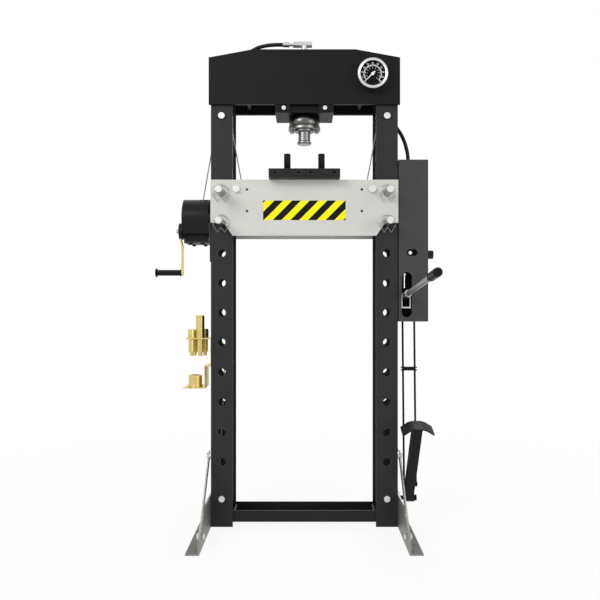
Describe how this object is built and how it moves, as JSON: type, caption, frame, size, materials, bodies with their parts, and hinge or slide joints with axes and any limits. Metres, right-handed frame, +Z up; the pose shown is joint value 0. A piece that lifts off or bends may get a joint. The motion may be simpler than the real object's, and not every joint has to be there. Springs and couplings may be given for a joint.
{
  "type": "hydraulic press",
  "caption": "Floor-standing hydraulic shop press with an H frame, pinned height-adjustable table, winch, hand lever and foot pedal pump and pressure gauge.",
  "frame": {"origin": "on the floor, midway between the four floor anchor holes of the feet", "axes": "+Z up along the uprights, +X to the right seen from the operator, the operator stands at -Y"},
  "size_m": [1.086, 1.0157, 1.894],
  "materials": {
    "powder_black": "satin black powder coat",
    "powder_charcoal": "satin charcoal powder coat",
    "table_paint": "semi-gloss light grey paint",
    "zinc_plate": "bright zinc plating",
    "bright_steel": "turned steel",
    "wire_rope": "galvanised wire rope",
    "yellow_zinc": "yellow zinc plating",
    "grip_rubber": "matte rubber",
    "black_plastic": "moulded plastic",
    "gauge_metal": "polished bezel",
    "gauge_black": "matt black dial",
    "gauge_white": "white needle",
    "gauge_glass": "clear lens"
  },
  "bodies": {
    "frame": {"left_upright": "powder_charcoal", "right_upright": "powder_charcoal", "head_front_plate": "powder_black", "head_rear_plate": "powder_black", "head_bars": "powder_black", "base_crossbar": "powder_black", "left_foot": "zinc_plate", "right_foot": "zinc_plate", "foot_braces": "zinc_plate", "frame_bolts": "zinc_plate", "sheave_axles": "zinc_plate", "hoist_rope": "wire_rope", "levelling_rope": "wire_rope", "rope_anchors": "zinc_plate", "table_front_plate": "table_paint", "table_rear_plate": "table_paint", "table_spacers": "table_paint", "left_v_block": "powder_black", "right_v_block": "powder_black", "cylinder_mount": "powder_black", "mount_screws": "zinc_plate", "cylinder_body": "bright_steel", "cylinder_gland": "bright_steel", "hose_elbow": "zinc_plate", "hydraulic_hose": "grip_rubber", "hose_clips": "black_plastic", "gauge_case": "gauge_metal", "gauge_dial": "gauge_black", "gauge_lens": "gauge_glass", "winch_bracket": "powder_charcoal", "winch_frame": "powder_black", "winch_cover": "powder_black", "adapter_holder": "yellow_zinc", "press_adapters": "yellow_zinc", "pump_cover": "powder_charcoal", "pump_block": "powder_charcoal", "lever_bracket": "zinc_plate", "pedal_bracket": "powder_black"},
    "ram_body": {"ram": "bright_steel", "ram_pad": "bright_steel"},
    "needle": {"gauge_needle": "gauge_white"},
    "upper_left_wheel": {"top_left_sheave": "bright_steel"},
    "upper_right_wheel": {"top_right_sheave": "bright_steel"},
    "lower_left_wheel": {"bottom_left_sheave": "bright_steel"},
    "lower_right_wheel": {"bottom_right_sheave": "bright_steel"},
    "drum": {"winch_drum": "bright_steel"},
    "crank": {"winch_pinion": "powder_black", "crank_arm": "yellow_zinc"},
    "crank_handle": {"crank_grip": "grip_rubber"},
    "upper_left_pin": {"pin_upper_left": "zinc_plate"},
    "upper_right_pin": {"pin_upper_right": "zinc_plate"},
    "lower_left_pin": {"pin_lower_left": "zinc_plate"},
    "lower_right_pin": {"pin_lower_right": "zinc_plate"},
    "hand_lever": {"lever_socket": "zinc_plate", "lever_tube": "bright_steel", "lever_grip": "grip_rubber"},
    "plunger": {"pump_rod": "zinc_plate"},
    "release_valve": {"release_knob": "black_plastic"},
    "pedal": {"foot_pedal": "powder_black"},
    "pull_rods": {"foot_rods": "powder_black"}
  },
  "joints": [
    {"name": "ram_slide", "type": "slide", "parent": "frame", "child": "ram_body", "axis": [0, 0, -1], "range_m": [0, 0.15], "stiffness_N_per_m": 600, "springref_m": -0.2},
    {"name": "needle_turn", "type": "hinge", "parent": "frame", "child": "needle", "pos_m": [0.259, -0.1035, 1.732], "axis": [0, 1, 0], "range_deg": [0, 270]},
    {"name": "upper_left_sheave_turn", "type": "hinge", "parent": "frame", "child": "upper_left_wheel", "pos_m": [-0.318, -0.008, 1.582], "axis": [0, 1, 0], "continuous": true},
    {"name": "upper_right_sheave_turn", "type": "hinge", "parent": "frame", "child": "upper_right_wheel", "pos_m": [0.318, 0.008, 1.582], "axis": [0, 1, 0], "continuous": true},
    {"name": "lower_left_sheave_turn", "type": "hinge", "parent": "frame", "child": "lower_left_wheel", "pos_m": [-0.318, 0.008, 0.11], "axis": [0, 1, 0], "continuous": true},
    {"name": "lower_right_sheave_turn", "type": "hinge", "parent": "frame", "child": "lower_right_wheel", "pos_m": [0.318, 0.008, 0.11], "axis": [0, 1, 0], "continuous": true},
    {"name": "drum_turn", "type": "hinge", "parent": "frame", "child": "drum", "pos_m": [-0.4, 0, 1.189], "axis": [1, 0, 0], "continuous": true},
    {"name": "crank_turn", "type": "hinge", "parent": "frame", "child": "crank", "pos_m": [-0.48, -0.0322, 1.141], "axis": [1, 0, 0], "continuous": true},
    {"name": "crank_grip_turn", "type": "hinge", "parent": "crank", "child": "crank_handle", "pos_m": [-0.53, -0.0322, 0.98], "axis": [1, 0, 0], "continuous": true},
    {"name": "upper_left_pin_slide", "type": "slide", "parent": "frame", "child": "upper_left_pin", "axis": [0, -1, 0], "range_m": [0, 0.264]},
    {"name": "lower_left_pin_slide", "type": "slide", "parent": "frame", "child": "lower_left_pin", "axis": [0, -1, 0], "range_m": [0, 0.264]},
    {"name": "upper_right_pin_slide", "type": "slide", "parent": "frame", "child": "upper_right_pin", "axis": [0, -1, 0], "range_m": [0, 0.264]},
    {"name": "lower_right_pin_slide", "type": "slide", "parent": "frame", "child": "lower_right_pin", "axis": [0, -1, 0], "range_m": [0, 0.264]},
    {"name": "lever_swing", "type": "hinge", "parent": "frame", "child": "hand_lever", "pos_m": [0.392, -0.05, 0.892], "axis": [1, 0, 0], "range_deg": [-35, 30]},
    {"name": "plunger_slide", "type": "slide", "parent": "frame", "child": "plunger", "axis": [0, 0, 1], "range_m": [-0.0132, 0.0115]},
    {"name": "release_turn", "type": "hinge", "parent": "frame", "child": "release_valve", "pos_m": [0.49, 0, 1.053], "axis": [1, 0, 0], "range_deg": [0, 270]},
    {"name": "pedal_press", "type": "hinge", "parent": "frame", "child": "pedal", "pos_m": [0.41, 0, 0.094], "axis": [1, 0, 0], "range_deg": [0, 25], "stiffness_Nm_per_rad": 24, "springref_deg": -17.19},
    {"name": "pull_rods_swing", "type": "hinge", "parent": "pedal", "child": "pull_rods", "pos_m": [0.41, -0.04303, 0.16026], "axis": [1, 0, 0], "range_deg": [-27.2, 0.2]}
  ],
  "couplings": [
    {"joint": "crank_turn", "follows": "drum_turn", "ratio": -2.8333},
    {"joint": "plunger_slide", "follows": "lever_swing", "m_per_rad": 0.0212},
    {"joint": "pull_rods_swing", "follows": "pedal_press", "ratio": -1.08}
  ]
}
